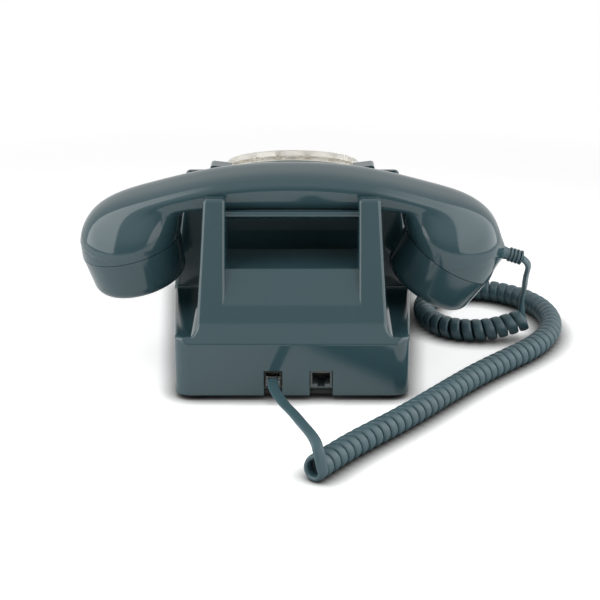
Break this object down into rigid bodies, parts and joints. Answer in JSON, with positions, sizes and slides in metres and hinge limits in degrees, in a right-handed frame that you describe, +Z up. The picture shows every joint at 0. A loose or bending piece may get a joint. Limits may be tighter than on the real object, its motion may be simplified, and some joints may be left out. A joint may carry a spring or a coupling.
{
  "type": "rotary dial telephone",
  "caption": "Desk telephone with a rotary dial, a lift-off handset over sprung cradle plungers, a bell ringer inside and a curly cord from the handset to a rear socket.",
  "frame": {"origin": "on the table under the middle of the case", "axes": "+X to the right seen from behind and along the handset, +Y from the rear wall to the dial, +Z up"},
  "size_m": [0.2844, 0.3192, 0.118],
  "materials": {
    "case_plastic": "glossy moulded plastic, dark grey blue",
    "clear_plastic": "clear moulded plastic",
    "rubber": "matt black rubber",
    "cord_plastic": "satin flexible plastic",
    "black_plastic": "matt black plastic",
    "steel": "plated steel",
    "black_steel": "black enamelled steel",
    "brass": "bright brass",
    "board_green": "green laminate",
    "number_white": "white printed plate",
    "aluminium": "satin"
  },
  "bodies": {
    "base": {"base_plate": "black_steel", "board_components": "black_plastic", "board_screws": "steel", "case_screws": "steel", "case_shell": "case_plastic", "circuit_board": "board_green", "clapper_pivot": "steel", "cord_curls": "cord_plastic", "cord_drop": "cord_plastic", "cord_lead": "cord_plastic", "cord_plug": "clear_plastic", "dial_bush": "brass", "dial_clamp_ring": "black_plastic", "dial_drum": "case_plastic", "dial_frame_plate": "steel", "dial_pillars": "steel", "dial_screws": "steel", "finger_stop": "steel", "gong_left": "brass", "gong_posts": "steel", "gong_right": "brass", "gong_screws": "steel", "governor_cup": "brass", "handset_socket": "black_plastic", "handset_socket_contacts": "brass", "hook_bracket": "steel", "hook_springs": "steel", "hook_switch": "black_plastic", "line_socket": "black_plastic", "line_socket_contacts": "brass", "number_ring": "number_white", "return_spring": "steel", "ringer_coil": "black_plastic", "ringer_core": "steel", "ringer_frame": "steel", "rubber_feet": "rubber"},
    "dial_wheel": {"finger_wheel": "clear_plastic", "dial_shaft": "steel", "dial_centre": "case_plastic", "main_gear": "brass"},
    "pulse_arbor": {"pulse_arbor": "brass"},
    "governor": {"governor": "brass"},
    "hook": {"plunger_left": "case_plastic", "plunger_right": "case_plastic", "hook_bar": "case_plastic"},
    "clapper": {"clapper": "steel"},
    "handset": {"handset_shell": "case_plastic", "ear_cap": "case_plastic", "mouth_cap": "case_plastic", "receiver_capsule": "aluminium", "transmitter_capsule": "aluminium", "handset_weight": "steel", "strain_relief": "cord_plastic"}
  },
  "joints": [
    {"name": "handset_lift", "type": "slide", "parent": "base", "child": "handset", "axis": [0, 0, 1], "range_m": [0, 0.08]},
    {"name": "hook_slide", "type": "slide", "parent": "base", "child": "hook", "axis": [0, 0, 1], "range_m": [0, 0.004], "deforming": ["hook_springs"]},
    {"name": "dial_turn", "type": "hinge", "parent": "base", "child": "dial_wheel", "pos_m": [0, 0.048, 0.08029], "axis": [0, -0.4226, -0.9063], "range_deg": [0, 330], "stiffness_Nm_per_rad": 0.008, "springref_deg": -85.94},
    {"name": "pulse_turn", "type": "hinge", "parent": "base", "child": "pulse_arbor", "pos_m": [0.024, 0.048, 0.08029], "axis": [0, -0.4226, -0.9063], "range_deg": [-990, 0]},
    {"name": "governor_turn", "type": "hinge", "parent": "base", "child": "governor", "pos_m": [0.024, 0.06023, 0.07458], "axis": [0, -0.4226, -0.9063], "range_deg": [0, 1980]},
    {"name": "clapper_swing", "type": "hinge", "parent": "base", "child": "clapper", "pos_m": [0, 0.026, 0.024], "axis": [0, 0, 1], "range_deg": [-2.4, 2.4], "stiffness_Nm_per_rad": 0.002}
  ],
  "couplings": [
    {"joint": "hook_slide", "follows": "handset_lift", "ratio": 0.05},
    {"joint": "pulse_turn", "follows": "dial_turn", "ratio": -3},
    {"joint": "governor_turn", "follows": "dial_turn", "ratio": 6}
  ]
}
